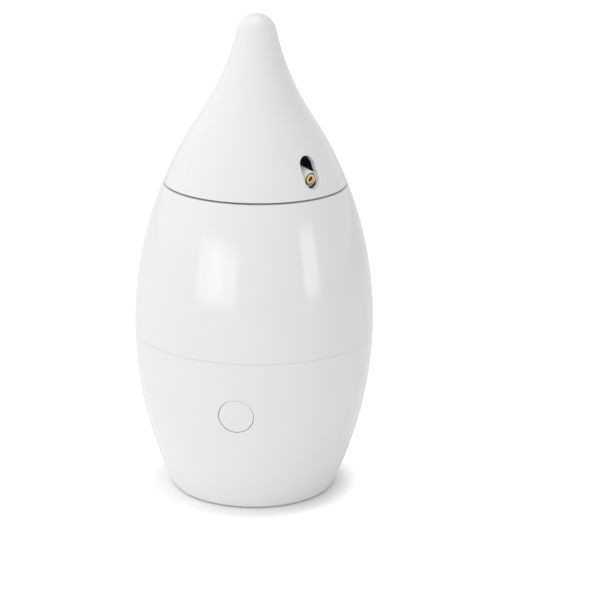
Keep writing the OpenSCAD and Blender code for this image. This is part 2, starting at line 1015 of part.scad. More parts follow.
module battery_tower() {
  color("#d9dad8")
    difference() {
      union() {
        rod(cell_ring_r + well_r + 2, floor_z, tower_top);
        for (a = ear_angles)
          at(a, ear_r)
            rod(3.4, floor_z + 2, floor_z + 4);
        for (a = ear_angles)
          at(a, 0)
            block(12, ear_r, -3.4, 3.4, floor_z + 2, floor_z + 4);
        for (x = [-11, 11])
          for (z = [34, 60])
            translate([x, 0, min(z, tower_top - 3)])
              rotate([90, 0, 0])
                rod(3, 10, -board_y - board_t);
      }
      for (k = [0:2])
        at(90 + 120 * k, cell_ring_r)
          rod(well_r, floor_z - 1, cell_top + 0.4);
      rod(cell_ring_r + 4, floor_z - 1, floor_z + 2.6);
      rod(screw_r + screw_fit, floor_z - 1, 20);
      for (a = ear_angles)
        at(a, ear_r)
          rod(small_screw_r + screw_fit, floor_z, floor_z + 5);
      for (x = [-11, 11])
        for (z = [34, 60])
          translate([x, 0, z])
            rotate([90, 0, 0])
              rod(small_screw_r, -board_y - board_t - 5, 40);
      for (a = [210, 330])
        at(a, cell_ring_r)
          rod(0.8, cell_top, tower_top + 1);
    }
}

// a plate over every cell; two of them are joined and the outer two carry solder tabs
module top_contacts() {
  color("#c5c8cc")
    difference() {
      union() {
        for (k = [0:2])
          at(90 + 120 * k, cell_ring_r)
            rod(5.4, cell_top, cell_top + 0.4);
      }
      rod(2, cell_top - 1, cell_top + 1);
    }
}

module aa_cell(k) {
  up = k != 1;
  color("#b5343a")
    at(90 + 120 * k, cell_ring_r) {
      rod(cell_r, cell_low + (up ? 0 : 1), cell_top - (up ? 1 : 0));
      if (up)
        rod(2.7, cell_top - 1.01, cell_top);
      if (!up)
        rod(2.7, cell_low, cell_low + 1.01);
    }
}

module aa_cell_1() {
  aa_cell(0);
}

module aa_cell_2() {
  aa_cell(1);
}

module aa_cell_3() {
  aa_cell(2);
}

module battery_door() {
  color("#f4f4f2")
    difference() {
      union() {
        rod(door_r, foot_h, foot_h + door_h);
        rod(3, foot_h + door_h - 0.1, foot_h + door_h + 2.2);
      }
      rod(screw_head_r + 0.2, foot_h - 1, foot_h + 1.6);
      rod(screw_r + screw_fit, foot_h, foot_h + 9);
      block(-5, 5, -16.5, -13.5, foot_h - 1, foot_h + 0.8);
    }
}

module door_screw() {
  color("#a7abb0")
    translate([0, 0, foot_h + 1.6])
      rotate([180, 0, 0])
        screw(screw_r, screw_head_r, 1.3, 11);
}

// one bent leaf spring under every cell
module door_springs() {
  color("#c5c8cc")
    for (k = [0:2])
      at(90 + 120 * k, cell_ring_r)
        translate([0, 2, foot_h + door_h])
          rotate([90, 0, 0])
            linear_extrude(height = 4)
              polygon([[-4, 0], [4, 0], [4.5, 0.35], [4.3, 0.9], [-1.8, 3.2], [-3, 3.2], [-3, 2.85],
                [-2, 2.8], [3.4, 0.75], [3.5, 0.4], [-4, 0.4]]);
}

module case_screws() {
  color("#a7abb0")
    for (a = leg_angles)
      at(a, leg_r)
        translate([0, 0, post_top - 14])
          rotate([180, 0, 0])
            screw(screw_r, screw_head_r, 2, 24);
}

module frame_screws() {
  color("#a7abb0")
    for (a = pillar_angles)
      at(a, pillar_r)
        translate([0, 0, frame_z])
          rotate([180, 0, 0])
            screw(small_screw_r, small_head_r, 1.2, body_top - 0.8 - frame_z);
}

module battery_leads() {
  tab = cell_ring_r * [cos(30), -sin(30)];
  lead_x = tilt_x - 5.4;
  color("#b3262b")
    for (s = [-1, 1])
      wire(0.55, [[s * tab[0], tab[1], cell_top + 0.4], [s * tab[0], tab[1], tower_top + 5],
        [s * lead_x, tab[1], tower_top + 5], [s * lead_x, -31, tower_top + 5], [s * lead_x, -31, 61.5],
        [s * lead_x, board_y + board_t, 61.5]]);
}

module motor_leads() {
  m = [motor_at[0], motor_at[1]];
  term_z = rack_z - 0.85;
  color("#2d4fa3") {
    for (s = [-1, 1])
      wire(0.55, [[-6.4 + s * 0.65, board_y + board_t, 50], [-6.4 + s * 0.65, -29.8, 50],
        [-6.4 + s * 0.65, -29.8, 84 + s], [-6.4 + s * 0.65, m[1] - s * 0.6, 84 + s],
        [m[0] + s * 6, m[1] - s * 0.6, 84 + s], [m[0] + s * 6, m[1] - s * 0.6, frame_z - 27.5]]);
    wire(0.55, [[tilt_x - 4, board_y + board_t, 46], [tilt_x - 4, -32.6, 46],
      [tilt_x - 4, -32.6, term_z + 0.55]]);
    wire(0.55, [[6.9, board_y + board_t, 42], [6.9, -32.6, 42], [6.9, -32.6, 80],
      [tilt_x + 4, -32.6, 80], [tilt_x + 4, -32.6, term_z + 0.55]]);
  }
}

module brush_leads() {
  color("#2b2d30")
    for (x = [-1.6, 0, 1.6])
      wire(0.5, [[x, board_y + board_t, 56], [x, -31, 56], [x, -31, roof_z + 0.8],
        [x, -27.6, roof_z + 0.8]]);
}

base_cup();
body_shell();
rubber_feet();
gear_frame();
top_deck();
spindle_bushes();
rod_bush();
spin_motor();
tilt_motor();
motor_strap();
brush_block();
brush_fingers();
gear_axles();
circuit_board();
control_chip();
capacitor();
board_resistors();
push_switch();
battery_tower();
top_contacts();
aa_cell_1();
aa_cell_2();
aa_cell_3();
case_screws();
frame_screws();
chassis_screws();
strap_screws();
battery_leads();
motor_leads();
brush_leads();
head_shell();
turntable();
spindle();
spindle_gear();
spindle_clip();
slip_ring_board();
slip_ring_tracks();
head_screws();
flange_screws();
pivot_pins();
tilt_rod();
laser_cradle_front();
laser_barrel_front();
laser_lens_front();
laser_board_front();
laser_cradle_rear();
laser_barrel_rear();
laser_lens_rear();
laser_board_rear();
tilt_pinion();
tilt_motor_shaft();
first_gear();
second_gear();
motor_pinion();
spin_motor_shaft();
button_cap();
switch_plunger();
battery_door();
door_screw();
door_springs();
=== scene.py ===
import math

import bmesh
import bpy
from mathutils import Matrix, Vector


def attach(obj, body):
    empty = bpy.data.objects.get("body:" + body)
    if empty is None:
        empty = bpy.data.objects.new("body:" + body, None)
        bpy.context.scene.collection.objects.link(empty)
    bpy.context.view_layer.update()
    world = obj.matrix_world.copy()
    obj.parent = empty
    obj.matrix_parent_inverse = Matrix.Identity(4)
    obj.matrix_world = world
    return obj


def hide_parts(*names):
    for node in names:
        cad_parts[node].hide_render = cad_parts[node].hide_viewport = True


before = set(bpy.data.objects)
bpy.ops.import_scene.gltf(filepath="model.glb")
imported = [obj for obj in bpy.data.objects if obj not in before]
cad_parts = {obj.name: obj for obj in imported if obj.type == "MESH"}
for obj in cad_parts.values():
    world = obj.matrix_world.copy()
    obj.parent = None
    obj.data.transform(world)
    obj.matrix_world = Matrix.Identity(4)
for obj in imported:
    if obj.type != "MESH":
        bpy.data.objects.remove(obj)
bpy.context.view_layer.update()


# ---------------------------------------------------------------- base cup
# The lower third of the case: one injection-moulded cup with the screw posts, the door opening and
# the bore of the button. It keeps its CAD shape. The same white ABS serves every outer moulding.

def srgb(code):
    """A #rrggbb colour as the linear light that a shader socket takes."""
    parts = [int(code[i:i + 2], 16) / 255 for i in (1, 3, 5)]
    return [p / 12.92 if p <= 0.04045 else ((p + 0.055) / 1.055) ** 2.4 for p in parts] + [1.0]


def add_node(tree, kind, sockets=None, **settings):
    """Adds one node with its settings. A socket takes a value, a link from another socket, or a
    link from the first output that another node uses."""
    made = tree.nodes.new(kind)
    for name, value in settings.items():
        setattr(made, name, value)
    for socket, value in (sockets or {}).items():
        if isinstance(value, bpy.types.Node):
            value = next(output for output in value.outputs if output.enabled)
        if isinstance(value, bpy.types.NodeSocket):
            tree.links.new(value, made.inputs[socket])
        else:
            made.inputs[socket].default_value = value
    return made


def start_material(name):
    """An empty node material, its tree and the place on the piece in metres."""
    made = bpy.data.materials.new(name)
    made.use_nodes = True
    made.node_tree.nodes.clear()
    return made, made.node_tree, add_node(made.node_tree, "ShaderNodeTexCoord").outputs["Object"]


def finish_material(tree, sockets):
    """Puts a principled shader with these sockets at the end of a tree."""
    shader = add_node(tree, "ShaderNodeBsdfPrincipled", sockets)
    add_node(tree, "ShaderNodeOutputMaterial", {"Surface": shader})


def coat_nodes(material, *names):
    """Gives CAD nodes their material."""
    for name in names:
        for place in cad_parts[name].material_slots:
            place.material = material


# ABS from a polished mould: an even, neutral white with clear soft reflections. Its gloss wanders
# a little where hands wipe it, and it has the faint 3.5 mm orange peel of thick walls.
white_abs, tree, place = start_material("glossy moulded ABS, white")
peel = add_node(tree, "ShaderNodeTexNoise", {"Vector": place, "Scale": 1 / 0.0035, "Detail": 1.0})
relief = add_node(tree, "ShaderNodeBump", {"Height": peel, "Strength": 0.35, "Distance": 0.000006})
wiped = add_node(tree, "ShaderNodeTexNoise", {"Vector": place, "Scale": 1 / 0.03, "Detail": 3.0})
gloss = add_node(tree, "ShaderNodeMapRange", {"Value": wiped, "From Min": 0.3, "From Max": 0.7,
                                              "To Min": 0.11, "To Max": 0.15})
finish_material(tree, {"Base Color": srgb("#f3f3f4"), "IOR": 1.54, "Roughness": gloss,
                       "Normal": relief})
coat_nodes(white_abs, "base_cup", "body_shell", "head_shell", "button_cap", "battery_door",
           "laser_cradle_front", "laser_cradle_rear")


# ---------------------------------------------------------------- rubber feet
# Four rings of black thermoplastic rubber, pressed into round pockets under the cup. Each has a
# softened rim, a hollow middle and one fine groove, so that it grips and its mould flash lies free.

def only(kind, geom):
    """The vertices or the faces among what an operator gives back."""
    return [item for item in geom if isinstance(item, kind)]


def draw(bm, start, *strokes):
    """Draws an outline in the XZ plane, in millimetres. A stroke of two numbers goes straight to
    that point. A stroke of four goes round a centre by an angle in degrees, in so many steps."""
    tip = bmesh.ops.create_vert(bm, co=(start[0], 0, start[1]))["vert"][0]
    for stroke in strokes:
        if len(stroke) == 2:
            tip = bmesh.ops.extrude_vert_indiv(bm, verts=[tip])["verts"][0]
            tip.co = stroke[0], 0, stroke[1]
        else:
            x, z, angle, steps = stroke
            drawn = bmesh.ops.spin(bm, geom=[tip], cent=(x, 0, z), axis=(0, -1, 0),
                                   angle=math.radians(angle), steps=steps)
            tip = only(bmesh.types.BMVert, drawn["geom_last"])[0]


def turn(bm, steps):
    """Turns what is drawn once round the Z axis and closes its seam and poles."""
    bmesh.ops.spin(bm, geom=bm.verts[:] + bm.edges[:], cent=(0, 0, 0), axis=(0, 0, 1),
                   angle=math.tau, steps=steps, use_merge=True)
    bmesh.ops.remove_doubles(bm, verts=bm.verts, dist=0.0004)
    bmesh.ops.recalc_face_normals(bm, faces=bm.faces)


def repeat(bm, steps, cent=(0, 0, 0), axis=(0, 0, 1), angle=0, dvec=(0, 0, 0)):
    """Adds copies of the whole shape, by steps round an axis or along a line."""
    bmesh.ops.spin(bm, geom=bm.verts[:] + bm.edges[:] + bm.faces[:], cent=cent, axis=axis,
                   angle=math.radians(angle), dvec=dvec, steps=steps, use_duplicate=True)


def finish_piece(bm, name, body, slot, materials, *nodes):
    """Makes a bmesh drawn in millimetres a smooth piece that rides on a body and stands for CAD
    nodes."""
    bmesh.ops.scale(bm, vec=(0.001, 0.001, 0.001), verts=bm.verts)
    mesh = bpy.data.meshes.new(name)
    bm.to_mesh(mesh)
    bm.free()
    mesh.shade_smooth()
    mesh.set_sharp_from_angle(angle=math.radians(38))
    for material in materials:
        mesh.materials.append(material)
    piece = bpy.data.objects.new(name, mesh)
    bpy.context.scene.collection.objects.link(piece)
    piece.modifiers.new("even shading", "WEIGHTED_NORMAL").keep_sharp = True
    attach(piece, body)
    if nodes:
        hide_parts(*nodes)


# Thermoplastic rubber from an etched mould: near black and matt, with a fine 0.3 mm grain and
# a breath of pale dust. A mix of colours has its factor in socket 0, the colours in 6 and 7.
rubber, tree, place = start_material("moulded thermoplastic rubber, black")
grain = add_node(tree, "ShaderNodeTexNoise", {"Vector": place, "Scale": 1 / 0.0003, "Detail": 2.0})
relief = add_node(tree, "ShaderNodeBump", {"Height": grain, "Strength": 0.5, "Distance": 0.00004})
dust = add_node(tree, "ShaderNodeTexNoise", {"Vector": place, "Scale": 1 / 0.004, "Detail": 6.0})
tint = add_node(tree, "ShaderNodeMix", {0: dust, 6: srgb("#222325"), 7: srgb("#3b3c3e")},
                data_type="RGBA")
finish_material(tree, {"Base Color": tint, "IOR": 1.5, "Roughness": 0.72, "Normal": relief})

bm = bmesh.new()
draw(bm, (0, 0.25), (2.35, 0.25), (2.6, 0.05), (2.7, 0), (3.35, 0), (3.43, 0.12), (3.51, 0.12),
     (3.59, 0), (4.2, 0), (4.2, 0.3, 90, 4), (4.5, 1.4), (0, 1.4))
turn(bm, 48)
bmesh.ops.translate(bm, vec=(28.6, 0, 0), verts=bm.verts)
repeat(bm, 3, angle=270)
finish_piece(bm, "rubber_feet_rings", "base", "rubber", [rubber], "rubber_feet")


# ---------------------------------------------------------------- battery bay
# Three AA cells stand in a ring inside a moulded tower of light grey ABS. Plated plates join them
# at the top, and leaf springs on the door press from below.

def put(x, y, z, *turns):
    """A place in millimetres, with turns in degrees about named axes that are done last to
    first."""
    place = Matrix.Translation((x, y, z))
    for axis, angle in turns:
        place = place @ Matrix.Rotation(math.radians(angle), 4, axis)
    return place


def around(angle, radius, z, *turns):
    """A place on a circle round the toy's axis."""
    return put(radius * math.cos(math.radians(angle)), radius * math.sin(math.radians(angle)), z,
               *turns)


# ABS from a spark-eroded mould: pale grey and satin, with a fine 0.5 mm grain.
grey_abs, tree, place = start_material("spark-textured ABS, light grey")
grain = add_node(tree, "ShaderNodeTexNoise", {"Vector": place, "Scale": 1 / 0.0005, "Detail": 2.0})
relief = add_node(tree, "ShaderNodeBump", {"Height": grain, "Strength": 0.4, "Distance": 0.00003})
flow = add_node(tree, "ShaderNodeTexNoise", {"Vector": place, "Scale": 1 / 0.025, "Detail": 2.0})
gloss = add_node(tree, "ShaderNodeMapRange", {"Value": flow, "To Min": 0.42, "To Max": 0.56})
finish_material(tree, {"Base Color": srgb("#c9cbc9"), "IOR": 1.54, "Roughness": gloss,
                       "Normal": relief})
coat_nodes(grey_abs, "battery_tower")

# Nickel-plated spring steel: bright and slightly warm, with fine rolling lines across each strip.
nickel, tree, place = start_material("nickel-plated steel")
drawn = add_node(tree, "ShaderNodeMapping", {"Vector": place, "Scale": (1, 14, 1)})
lines = add_node(tree, "ShaderNodeTexNoise", {"Vector": drawn, "Scale": 1 / 0.002, "Detail": 3.0})
gloss = add_node(tree, "ShaderNodeMapRange", {"Value": lines, "To Min": 0.16, "To Max": 0.34})
finish_material(tree, {"Base Color": srgb("#d3d2cd"), "Metallic": 1.0, "Roughness": gloss})
coat_nodes(nickel, "top_contacts", "door_springs")

# A PVC sleeve, shrunk on: plain red with one silver band at the positive end, glossy, with the
# faint long ripples of a shrunk film.
red_film, tree, place = start_material("shrunk PVC film, red")
drawn = add_node(tree, "ShaderNodeMapping", {"Vector": place, "Scale": (1, 1, 0.15)})
ripple = add_node(tree, "ShaderNodeTexNoise", {"Vector": drawn, "Scale": 1 / 0.0025, "Detail": 1.0})
relief = add_node(tree, "ShaderNodeBump", {"Height": ripple, "Strength": 0.4, "Distance": 0.00002})
finish_material(tree, {"Base Color": srgb("#a3262d"), "IOR": 1.54, "Roughness": 0.24,
                       "Normal": relief})
silver_film, tree, place = start_material("shrunk PVC film, silver ink")
drawn = add_node(tree, "ShaderNodeMapping", {"Vector": place, "Scale": (1, 1, 0.15)})
ripple = add_node(tree, "ShaderNodeTexNoise", {"Vector": drawn, "Scale": 1 / 0.0025, "Detail": 1.0})
gloss = add_node(tree, "ShaderNodeMapRange", {"Value": ripple, "To Min": 0.28, "To Max": 0.4})
finish_material(tree, {"Base Color": srgb("#c4c6c8"), "Metallic": 0.8, "Roughness": gloss})

# The second cell stands on its positive end, so that the three make one row of 4.5 V.
cell_height, cell_seat, cell_ring = 50.5, 5.8, 10.6
band_start, end_radius = 43.5, 5.6
cell_places = (around(90, cell_ring, cell_seat),
               around(210, cell_ring, cell_seat + cell_height, ("X", 180)),
               around(330, cell_ring, cell_seat))
for number, stand in enumerate(cell_places, start=1):
    bm = bmesh.new()
    draw(bm, (0, 0), (4.4, 0), (4.75, 0.35), (5.3, 0.35), (5.45, 0.04), (6.4, 0.02),
         (6.4, 0.72, 90, 5), (7.1, 43.5), (7.1, 48.6), (6.3, 48.6, 90, 5), (5.8, 49.4),
         (5.65, 49.15), (3.1, 49.15), (2.8, 49.4), (2.7, 49.7), (2.7, 50.15),
         (2.35, 50.15, 90, 4), (0, cell_height))
    turn(bm, 64)
    for face in bm.faces:
        where = face.calc_center_median()
        bare_end = math.hypot(where.x, where.y) < end_radius
        face.material_index = 2 if bare_end else 1 if where.z > band_start else 0
    bmesh.ops.transform(bm, matrix=stand, verts=bm.verts)
    finish_piece(bm, f"aa_cell_{number}_sleeved", "base", "cell", [red_film, silver_film, nickel],
                 f"aa_cell_{number}")


# ---------------------------------------------------------------- circuit board
# A 1.6 mm glass-epoxy board behind the button carries the push switch, a controller chip, a
# capacitor and three chip resistors. It is screwed to the battery tower.

def add_copies(bm, shape, places):
    """Adds a copy of a shape at each place, and frees the shape."""
    mesh = bpy.data.meshes.new("copy")
    for place in places:
        moved = shape.copy()
        bmesh.ops.transform(moved, matrix=place, verts=moved.verts)
        moved.to_mesh(mesh)
        bm.from_mesh(mesh)
        moved.free()
    shape.free()


# Solder mask over copper: glossy green, paler over the 1.2 mm raster of tracks below it.
solder_mask, tree, place = start_material("solder mask on glass-epoxy, green")
upright = add_node(tree, "ShaderNodeMapping", {"Vector": place, "Rotation": (math.pi / 2, 0, 0)})
raster = add_node(tree, "ShaderNodeTexBrick", {
    "Vector": upright, "Color1": srgb("#1f6a3c"), "Color2": srgb("#23744a"),
    "Mortar": srgb("#17512f"), "Scale": 1.0, "Mortar Size": 0.0002, "Brick Width": 0.0074,
    "Row Height": 0.0012})
relief = add_node(tree, "ShaderNodeBump", {"Height": raster.outputs["Fac"], "Strength": 0.4,
                                           "Distance": 0.00003}, invert=True)
finish_material(tree, {"Base Color": raster, "IOR": 1.5, "Roughness": 0.28, "Normal": relief})
coat_nodes(solder_mask, "circuit_board", "slip_ring_board", "laser_board_front",
           "laser_board_rear")

# Glass-filled nylon: black and satin, with a fine 0.4 mm grain.
black_nylon, tree, place = start_material("moulded nylon, black")
grain = add_node(tree, "ShaderNodeTexNoise", {"Vector": place, "Scale": 1 / 0.0004, "Detail": 2.0})
relief = add_node(tree, "ShaderNodeBump", {"Height": grain, "Strength": 0.4, "Distance": 0.00002})
gloss = add_node(tree, "ShaderNodeMapRange", {"Value": grain, "To Min": 0.4, "To Max": 0.55})
finish_material(tree, {"Base Color": srgb("#242629"), "IOR": 1.53, "Roughness": gloss,
                       "Normal": relief})
coat_nodes(black_nylon, "control_chip", "push_switch", "brush_block")

# Tin solder: silver-grey with a soft frosty mottle.
tin, tree, place = start_material("tin solder")
frost = add_node(tree, "ShaderNodeTexNoise", {"Vector": place, "Scale": 1 / 0.0005, "Detail": 3.0})
gloss = add_node(tree, "ShaderNodeMapRange", {"Value": frost, "To Min": 0.2, "To Max": 0.42})
finish_material(tree, {"Base Color": srgb("#c7c9cb"), "Metallic": 1.0, "Roughness": gloss})

# Chip resistors: a buff ceramic body between two tinned end caps 0.5 mm long. They stand in a
# column 9.6 mm off the middle of the board.
resistor, tree, place = start_material("glazed ceramic with tinned ends")
across = add_node(tree, "ShaderNodeSeparateXYZ", {0: place})
aside = add_node(tree, "ShaderNodeMath", {0: across, 1: 0.0096}, operation="SUBTRACT")
off_middle = add_node(tree, "ShaderNodeMath", {0: aside}, operation="ABSOLUTE")
capped = add_node(tree, "ShaderNodeMath", {0: off_middle, 1: 0.0011}, operation="GREATER_THAN")
tint = add_node(tree, "ShaderNodeMix", {0: capped, 6: srgb("#b5a078"), 7: srgb("#c7c9cb")},
                data_type="RGBA")
finish_material(tree, {"Base Color": tint, "Metallic": capped, "Roughness": 0.3})
coat_nodes(resistor, "board_resistors")

# Seven bent legs stand 1.27 mm apart on one side of the chip, and half a turn about its middle
# gives those on the other side.
bm = bmesh.new()
bmesh.ops.create_grid(bm, x_segments=1, y_segments=1, size=0.21)
bmesh.ops.scale(bm, vec=(1, 0.4, 1), verts=bm.verts)
bmesh.ops.translate(bm, vec=(-3.81, -36.8, 40), verts=bm.verts)
end = bm.faces[:]
for step in ((0, 0, 0.35), (0, 0.7, 0.15), (0, 0, 0.5)):
    end = only(bmesh.types.BMFace, bmesh.ops.extrude_face_region(bm, geom=end)["geom"])
    bmesh.ops.translate(bm, vec=step, verts=end[0].verts)
bmesh.ops.recalc_face_normals(bm, faces=bm.faces)
repeat(bm, 6, dvec=(1.27, 0, 0))
repeat(bm, 1, cent=(0, 0, 37), axis=(0, 1, 0), angle=180)
finish_piece(bm, "control_chip_legs", "base", "steel", [tin])

# The capacitor is a rolled can in a blue sleeve with a pale stripe that marks its negative side.
blue_film, tree, place = start_material("shrunk PVC film, dark blue")
ripple = add_node(tree, "ShaderNodeTexNoise", {"Vector": place, "Scale": 1 / 0.0015, "Detail": 1.0})
gloss = add_node(tree, "ShaderNodeMapRange", {"Value": ripple, "To Min": 0.2, "To Max": 0.34})
finish_material(tree, {"Base Color": srgb("#2b3c72"), "IOR": 1.54, "Roughness": gloss})
pale_film, tree, place = start_material("shrunk PVC film, pale stripe")
ripple = add_node(tree, "ShaderNodeTexNoise", {"Vector": place, "Scale": 1 / 0.0015, "Detail": 1.0})
gloss = add_node(tree, "ShaderNodeMapRange", {"Value": ripple, "To Min": 0.24, "To Max": 0.38})
finish_material(tree, {"Base Color": srgb("#b9bdc9"), "IOR": 1.54, "Roughness": gloss})

stripe_from, stripe_to = 60, 110
bm = bmesh.new()
draw(bm, (0, 0), (2.2, 0), (2.2, 0.3, 90, 3), (2.5, 0.9), (2.32, 1.15), (2.32, 1.3), (2.5, 1.55),
     (2.5, 6.65), (2.15, 6.65, 90, 4), (1.95, 7), (1.85, 6.88), (0, 6.88))
turn(bm, 48)
for face in bm.faces:
    where = face.calc_center_median()
    striped = stripe_from < math.degrees(math.atan2(where.y, where.x)) < stripe_to
    bare_top = where.z > 6 and math.hypot(where.x, where.y) < 1.9
    face.material_index = 2 if bare_top else 1 if striped else 0
bmesh.ops.transform(bm, matrix=put(-9.5, -36, 47, ("X", 90)), verts=bm.verts)
finish_piece(bm, "capacitor_sleeved", "base", "capacitor", [blue_film, pale_film, nickel],
             "capacitor")

# Every lead ends in a cone of solder on the back of the board.
board_back = -34.4
bm, joint = bmesh.new(), bmesh.new()
draw(joint, (0, 0), (0.62, 0), (0.6, 0.1), (0.57, 0.3), (0.56, 0.75), (0, 0.8))
turn(joint, 16)
add_copies(bm, joint, [put(x, board_back, z, ("X", -90)) for x, z in (
    (-3.6, 61.5), (3.6, 61.5), (-7.05, 50), (-5.75, 50), (5, 46), (6.9, 42),
    (-1.6, 56), (0, 56), (1.6, 56))])
finish_piece(bm, "board_solder_joints", "base", "steel", [tin])


# ---------------------------------------------------------------- gear frame and top deck
# A moulded frame hangs under the roof of the case and carries both motors and the gears. The deck
# closes it. Both keep their CAD shapes, with the grey ABS of the battery tower.

coat_nodes(grey_abs, "gear_frame", "top_deck")


# ---------------------------------------------------------------- bushes
# Three flanged rings, pressed from bronze powder, sintered and soaked in oil. The spindle runs in
# one in the top deck and one in the gear frame, and the third guides the tilt rod below them.

# Sintered bronze: brown-gold and satin, with open pores about 0.15 mm wide.
bronze, tree, place = start_material("oil-filled sintered bronze")
pores = add_node(tree, "ShaderNodeTexVoronoi", {"Vector": place, "Scale": 1 / 0.00035})
metal = add_node(tree, "ShaderNodeMapRange", {"Value": pores, "From Min": 0.1, "From Max": 0.35})
relief = add_node(tree, "ShaderNodeBump", {"Height": metal, "Strength": 0.5, "Distance": 0.00004})
tint = add_node(tree, "ShaderNodeMix", {0: metal, 6: srgb("#5d4424"), 7: srgb("#b08a4f")},
                data_type="RGBA")
finish_material(tree, {"Base Color": tint, "Metallic": 1.0, "Roughness": 0.42, "Normal": relief})
coat_nodes(bronze, "spindle_bushes", "rod_bush")


# ---------------------------------------------------------------- motors
# The spin motor is a deep-drawn steel can, 20 mm wide, with a nylon end cap and two tabs. A pressed
# strap holds it up against the frame. The smaller tilt motor has its own brass gear box.

# Deep-drawn, nickel-plated steel: grey and bright, with faint lines along the draw.
drawn_can, tree, place = start_material("deep-drawn steel, nickel plated")
drawn = add_node(tree, "ShaderNodeMapping", {"Vector": place, "Scale": (1, 1, 0.05)})
lines = add_node(tree, "ShaderNodeTexNoise", {"Vector": drawn, "Scale": 1 / 0.0008, "Detail": 3.0})
relief = add_node(tree, "ShaderNodeBump", {"Height": lines, "Strength": 0.3, "Distance": 0.000006})
gloss = add_node(tree, "ShaderNodeMapRange", {"Value": lines, "To Min": 0.2, "To Max": 0.38})
finish_material(tree, {"Base Color": srgb("#bcbec1"), "Metallic": 1.0, "Roughness": gloss,
                       "Normal": relief})

# Rolled brass: yellow and bright, with a slight brown mottle of age.
rolled_brass, tree, place = start_material("rolled brass")
age = add_node(tree, "ShaderNodeTexNoise", {"Vector": place, "Scale": 1 / 0.002, "Detail": 4.0})
tint = add_node(tree, "ShaderNodeMix", {0: age, 6: srgb("#a9843f"), 7: srgb("#d2b168")},
                data_type="RGBA")
gloss = add_node(tree, "ShaderNodeMapRange", {"Value": age, "To Min": 0.2, "To Max": 0.36})
finish_material(tree, {"Base Color": tint, "Metallic": 1.0, "Roughness": gloss})

spin_motor_x, spin_motor_y = -1.9965, 27.9287
tab_radius, tab_thick, tab_middle, cap_under = 1.2, 0.6, 104.5, 106.9
bm = bmesh.new()
draw(bm, (0, 105.4), (2.7, 105.4), (3, 105.7), (3, 106.7), (3.1, 106.8), (8.3, 106.8),
     (8.3, 107.05), (8.5, 107.05), (8.5, 106.8), (9.75, 106.8), (10, 107.05), (10, 129.6),
     (8.8, 129.6, 90, 6), (3.2, 130.8), (3, 130.9), (3, 132.6), (2.8, 132.8), (1.3, 132.8),
     (1.05, 132.6), (1.05, 125.8), (0, 125.8))
turn(bm, 64)
for face in bm.faces:
    where = face.calc_center_median()
    face.material_index = 1 if where.z < 107.1 and math.hypot(where.x, where.y) < 8.6 else 0
# Each tab is a disc whose upper half is pulled square up to the cap, then given its thickness.
for x in (-6, 6):
    near = x - tab_thick / 2
    tab = bmesh.ops.create_circle(bm, cap_ends=True, segments=24, radius=tab_radius,
                                  matrix=put(near, 0, tab_middle, ("Y", 90)))["verts"]
    for v in tab:
        if v.co.z > tab_middle:
            v.co.z = cap_under
            v.co.y = math.copysign(tab_radius, v.co.y) if abs(v.co.y) > 1e-4 else 0
    bmesh.ops.remove_doubles(bm, verts=tab, dist=0.001)
    flat = [f for f in bm.faces if all(abs(v.co.x - near) < 1e-4 for v in f.verts)]
    rim = bmesh.ops.inset_region(bm, faces=flat, thickness=0.75)["faces"]
    moved = bmesh.ops.extrude_face_region(bm, geom=flat + rim, use_keep_orig=True)["geom"]
    bmesh.ops.translate(bm, vec=(tab_thick, 0, 0), verts=only(bmesh.types.BMVert, moved))
    for f in bm.faces:
        if all(v.co.z < 107 and abs(v.co.x - x) < 0.31 and abs(v.co.y) < 1.21 for v in f.verts):
            f.material_index = 2
bmesh.ops.translate(bm, vec=(spin_motor_x, spin_motor_y, 0), verts=bm.verts)
bmesh.ops.recalc_face_normals(bm, faces=bm.faces)
finish_piece(bm, "spin_motor_can", "base", "motor_can", [drawn_can, black_nylon, rolled_brass],
             "spin_motor")

# On the tilt motor the gear box of brass plates ends 16 mm from the rod, and there the steel can
# starts. Between the plates is a dark gap of 1.2 mm every 3.6 mm.
gear_motor, tree, place = start_material("brass gear box and drawn steel can")
depth = add_node(tree, "ShaderNodeSeparateXYZ", {0: place}).outputs["Y"]
boxed = add_node(tree, "ShaderNodeMath", {0: depth, 1: -0.016}, operation="GREATER_THAN")
stacked = add_node(tree, "ShaderNodeMath", {0: depth, 1: 0.0018}, operation="PINGPONG")
plates = add_node(tree, "ShaderNodeMath", {0: stacked, 1: 0.0006}, operation="GREATER_THAN")
brass = add_node(tree, "ShaderNodeMix", {0: plates, 6: srgb("#8d6c33"), 7: srgb("#d2b168")},
                 data_type="RGBA")
tint = add_node(tree, "ShaderNodeMix", {0: boxed, 6: srgb("#bcbec1"), 7: brass}, data_type="RGBA")
drawn = add_node(tree, "ShaderNodeMapping", {"Vector": place, "Scale": (1, 0.05, 1)})
lines = add_node(tree, "ShaderNodeTexNoise", {"Vector": drawn, "Scale": 1 / 0.0006, "Detail": 3.0})
gloss = add_node(tree, "ShaderNodeMapRange", {"Value": lines, "To Min": 0.18, "To Max": 0.36})
relief = add_node(tree, "ShaderNodeBump", {"Height": plates, "Strength": 0.3, "Distance": 0.0001})
finish_material(tree, {"Base Color": tint, "Metallic": 1.0, "Roughness": gloss, "Normal": relief})
coat_nodes(gear_motor, "tilt_motor")

